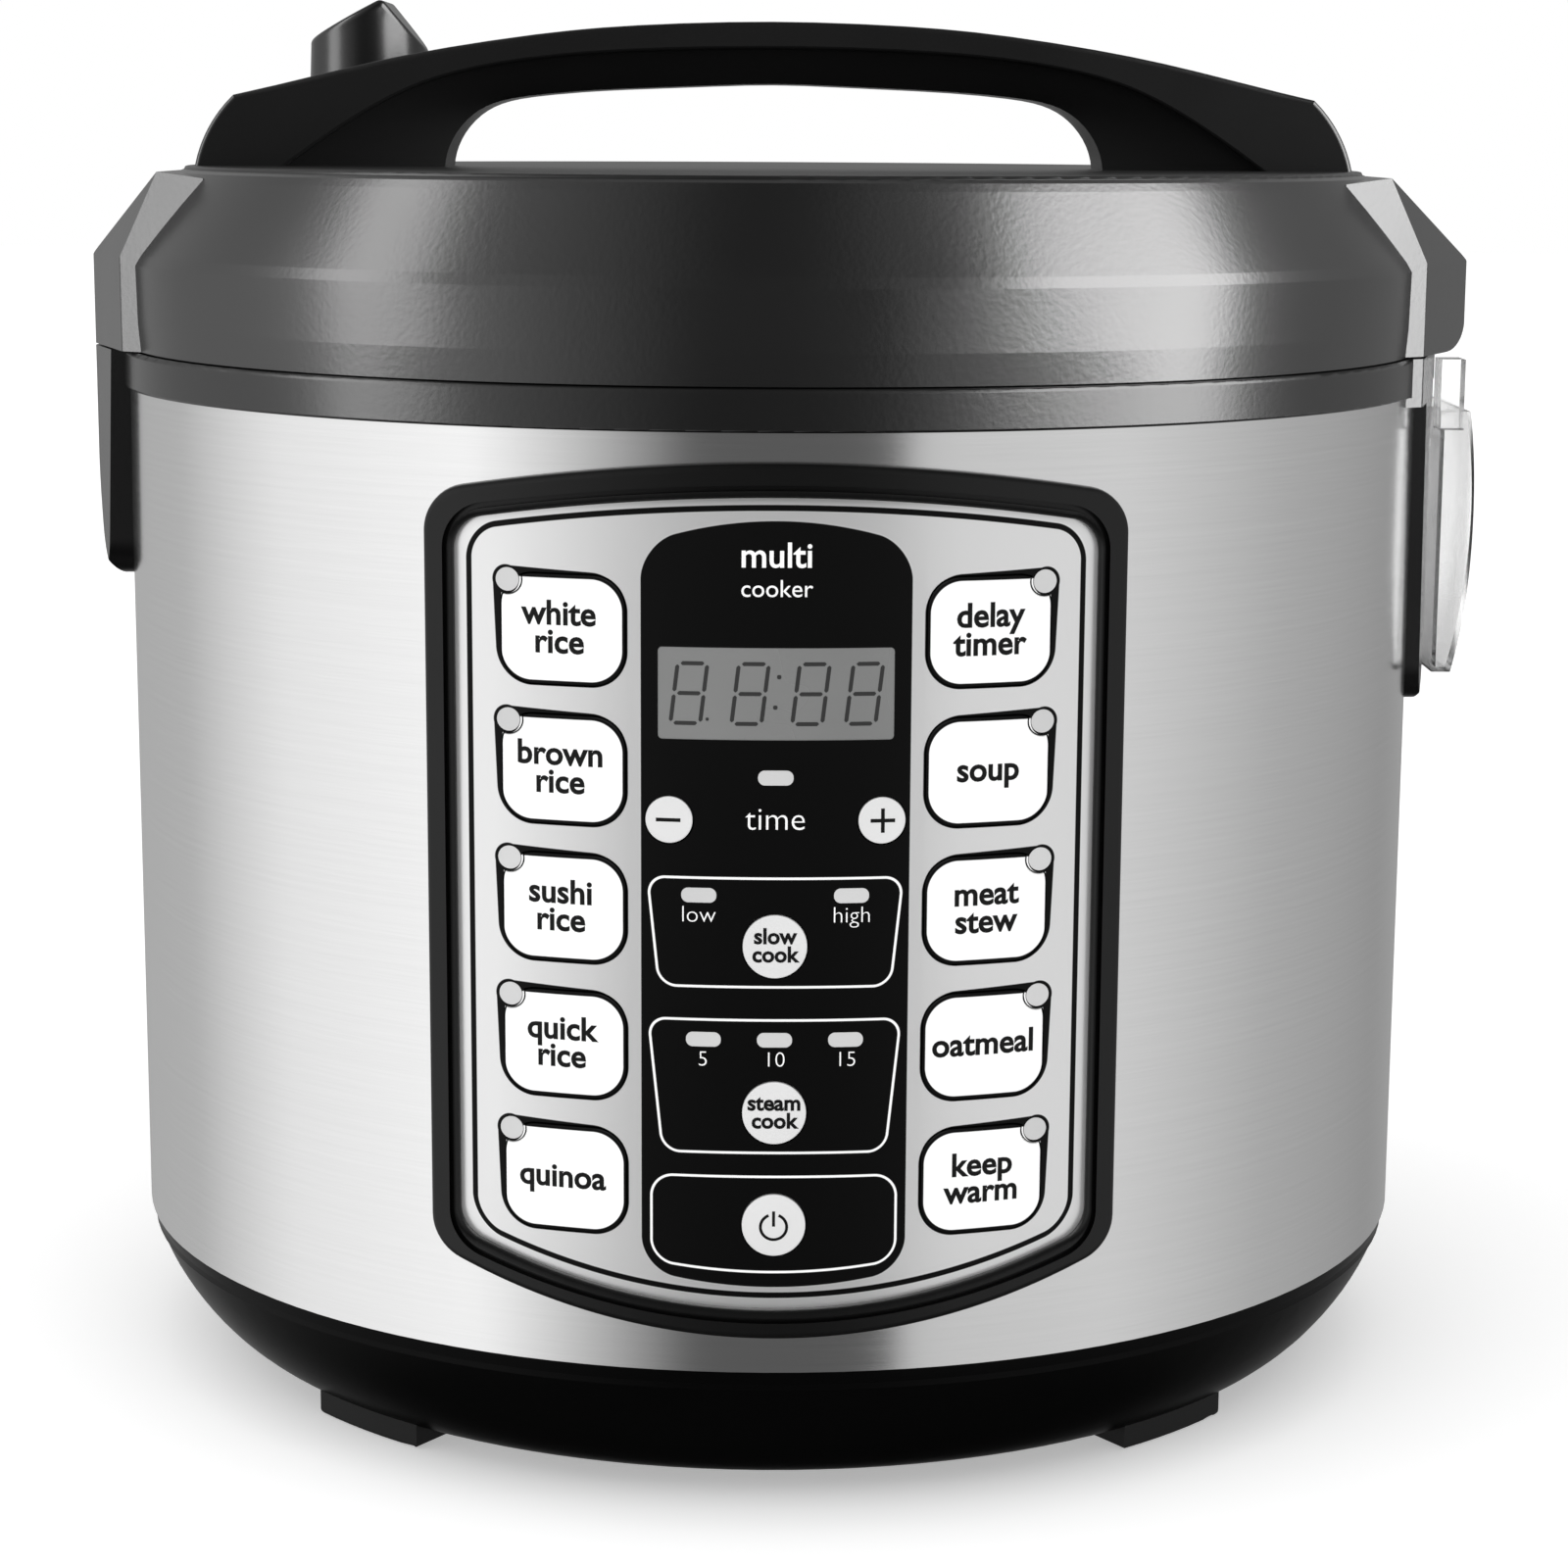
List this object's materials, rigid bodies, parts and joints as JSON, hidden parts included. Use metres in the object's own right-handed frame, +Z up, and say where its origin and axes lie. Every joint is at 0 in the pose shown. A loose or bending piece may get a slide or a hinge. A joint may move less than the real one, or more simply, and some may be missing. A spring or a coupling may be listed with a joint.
{
  "type": "slow cooker",
  "caption": "Round slow cooker and multicooker: steel drum body, side-hinged domed lid with arch handle, curved key panel, steam vent and clip-on condensation cup.",
  "frame": {"origin": "on the surface it stands on, under the centre line of the drum", "axes": "+Z up, -Y toward the control panel, +X toward the lid hinge and condensation cup"},
  "size_m": [0.2986, 0.285, 0.2939],
  "materials": {
    "base_black": "satin",
    "foot_rubber": "matte",
    "screw_steel": "satin",
    "drum_steel": "brushed",
    "lid_charcoal": "satin",
    "handle_black": "satin",
    "plate_black": "matte",
    "aluminium": "satin",
    "pot_coating": "non-stick coated",
    "cast_alu": "cast",
    "chamber_steel": "satin",
    "bezel_black": "gloss",
    "panel_silver": "satin",
    "key_white": "satin",
    "lens_grey": "clear",
    "led_lens": "translucent",
    "board_green": "satin",
    "switch_black": "satin",
    "clear_plastic": "clear",
    "silicone": "satin",
    "vent_black": "satin"
  },
  "bodies": {
    "cooker_body": {"base_pan": "base_black", "feet": "foot_rubber", "base_screws": "screw_steel", "chamber_supports": "cast_alu", "steel_wrap": "drum_steel", "body_ring": "lid_charcoal", "inner_chamber": "chamber_steel", "heating_plate": "cast_alu", "heating_tube": "chamber_steel", "plate_legs": "cast_alu", "thermal_fuse": "screw_steel", "sensor_bracket": "chamber_steel", "sensor_spring": "screw_steel", "inner_pot": "pot_coating", "control_bezel": "bezel_black", "control_panel": "panel_silver", "display_lens": "lens_grey", "display_module": "board_green", "led_lenses": "led_lens", "control_board": "board_green", "key_switches": "switch_black", "power_board": "board_green", "power_inlet": "bezel_black", "inlet_pins": "screw_steel", "latch_housing": "lid_charcoal", "hinge_base": "lid_charcoal", "hinge_tongue": "lid_charcoal", "hinge_pin": "screw_steel"},
    "lid": {"lid_shell": "lid_charcoal", "lid_top_plate": "plate_black", "lid_keeper": "screw_steel", "carry_handle": "handle_black", "handle_screws": "screw_steel", "lid_liner": "base_black", "inner_lid_plate": "aluminium", "lid_gasket": "silicone", "inner_lid_grommet": "silicone", "vent_seat": "base_black"},
    "vent_cap_body": {"vent_cap": "vent_black"},
    "cup_body": {"condensation_cup": "clear_plastic"},
    "release_button_body": {"release_button": "handle_black", "latch_hook": "handle_black"},
    "sensor_body": {"thermal_sensor": "aluminium"},
    "key_left_1_body": {"key_left_1": "key_white"},
    "key_left_2_body": {"key_left_2": "key_white"},
    "key_left_3_body": {"key_left_3": "key_white"},
    "key_left_4_body": {"key_left_4": "key_white"},
    "key_left_5_body": {"key_left_5": "key_white"},
    "key_right_1_body": {"key_right_1": "key_white"},
    "key_right_2_body": {"key_right_2": "key_white"},
    "key_right_3_body": {"key_right_3": "key_white"},
    "key_right_4_body": {"key_right_4": "key_white"},
    "key_right_5_body": {"key_right_5": "key_white"},
    "key_minus_body": {"key_minus": "key_white"},
    "key_plus_body": {"key_plus": "key_white"},
    "key_slow_body": {"key_slow": "key_white"},
    "key_steam_body": {"key_steam": "key_white"},
    "key_power_body": {"key_power": "key_white"}
  },
  "joints": [
    {"name": "lid_hinge", "type": "hinge", "parent": "cooker_body", "child": "lid", "pos_m": [0.1435, 0, 0.2255], "axis": [0, 1, 0], "range_deg": [0, 88]},
    {"name": "vent_cap_lift", "type": "slide", "parent": "lid", "child": "vent_cap_body", "axis": [0, 0, 1], "range_m": [0, 0.03]},
    {"name": "cup_pull", "type": "slide", "parent": "cooker_body", "child": "cup_body", "axis": [1, 0, 0], "range_m": [0, 0.03]},
    {"name": "release_button_press", "type": "slide", "parent": "cooker_body", "child": "release_button_body", "axis": [1, 0, 0], "range_m": [0, 0.002], "stiffness_N_per_m": 1200, "springref_m": -0.001},
    {"name": "sensor_plunge", "type": "slide", "parent": "cooker_body", "child": "sensor_body", "axis": [0, 0, -1], "range_m": [0, 0.003], "stiffness_N_per_m": 600, "springref_m": -0.002, "deforming": ["sensor_spring"]},
    {"name": "key_left_1_press", "type": "slide", "parent": "cooker_body", "child": "key_left_1_body", "axis": [0.2839, 0.9589, 0], "range_m": [0, 0.0004], "stiffness_N_per_m": 1200, "springref_m": -0.0002},
    {"name": "key_left_2_press", "type": "slide", "parent": "cooker_body", "child": "key_left_2_body", "axis": [0.2839, 0.9589, 0], "range_m": [0, 0.0004], "stiffness_N_per_m": 1200, "springref_m": -0.0002},
    {"name": "key_left_3_press", "type": "slide", "parent": "cooker_body", "child": "key_left_3_body", "axis": [0.2839, 0.9589, 0], "range_m": [0, 0.0004], "stiffness_N_per_m": 1200, "springref_m": -0.0002},
    {"name": "key_left_4_press", "type": "slide", "parent": "cooker_body", "child": "key_left_4_body", "axis": [0.2839, 0.9589, 0], "range_m": [0, 0.0004], "stiffness_N_per_m": 1200, "springref_m": -0.0002},
    {"name": "key_left_5_press", "type": "slide", "parent": "cooker_body", "child": "key_left_5_body", "axis": [0.2839, 0.9589, 0], "range_m": [0, 0.0004], "stiffness_N_per_m": 1200, "springref_m": -0.0002},
    {"name": "key_right_1_press", "type": "slide", "parent": "cooker_body", "child": "key_right_1_body", "axis": [-0.2839, 0.9589, 0], "range_m": [0, 0.0004], "stiffness_N_per_m": 1200, "springref_m": -0.0002},
    {"name": "key_right_2_press", "type": "slide", "parent": "cooker_body", "child": "key_right_2_body", "axis": [-0.2839, 0.9589, 0], "range_m": [0, 0.0004], "stiffness_N_per_m": 1200, "springref_m": -0.0002},
    {"name": "key_right_3_press", "type": "slide", "parent": "cooker_body", "child": "key_right_3_body", "axis": [-0.2839, 0.9589, 0], "range_m": [0, 0.0004], "stiffness_N_per_m": 1200, "springref_m": -0.0002},
    {"name": "key_right_4_press", "type": "slide", "parent": "cooker_body", "child": "key_right_4_body", "axis": [-0.2839, 0.9589, 0], "range_m": [0, 0.0004], "stiffness_N_per_m": 1200, "springref_m": -0.0002},
    {"name": "key_right_5_press", "type": "slide", "parent": "cooker_body", "child": "key_right_5_body", "axis": [-0.2839, 0.9589, 0], "range_m": [0, 0.0004], "stiffness_N_per_m": 1200, "springref_m": -0.0002},
    {"name": "key_minus_press", "type": "slide", "parent": "cooker_body", "child": "key_minus_body", "axis": [0.1417, 0.9899, 0], "range_m": [0, 0.0004], "stiffness_N_per_m": 1200, "springref_m": -0.0002},
    {"name": "key_plus_press", "type": "slide", "parent": "cooker_body", "child": "key_plus_body", "axis": [-0.1417, 0.9899, 0], "range_m": [0, 0.0004], "stiffness_N_per_m": 1200, "springref_m": -0.0002},
    {"name": "key_slow_press", "type": "slide", "parent": "cooker_body", "child": "key_slow_body", "axis": [0, 1, 0], "range_m": [0, 0.0004], "stiffness_N_per_m": 1200, "springref_m": -0.0002},
    {"name": "key_steam_press", "type": "slide", "parent": "cooker_body", "child": "key_steam_body", "axis": [0, 1, 0], "range_m": [0, 0.0004], "stiffness_N_per_m": 1200, "springref_m": -0.0002},
    {"name": "key_power_press", "type": "slide", "parent": "cooker_body", "child": "key_power_body", "axis": [0, 1, 0], "range_m": [0, 0.0004], "stiffness_N_per_m": 1200, "springref_m": -0.0002}
  ]
}
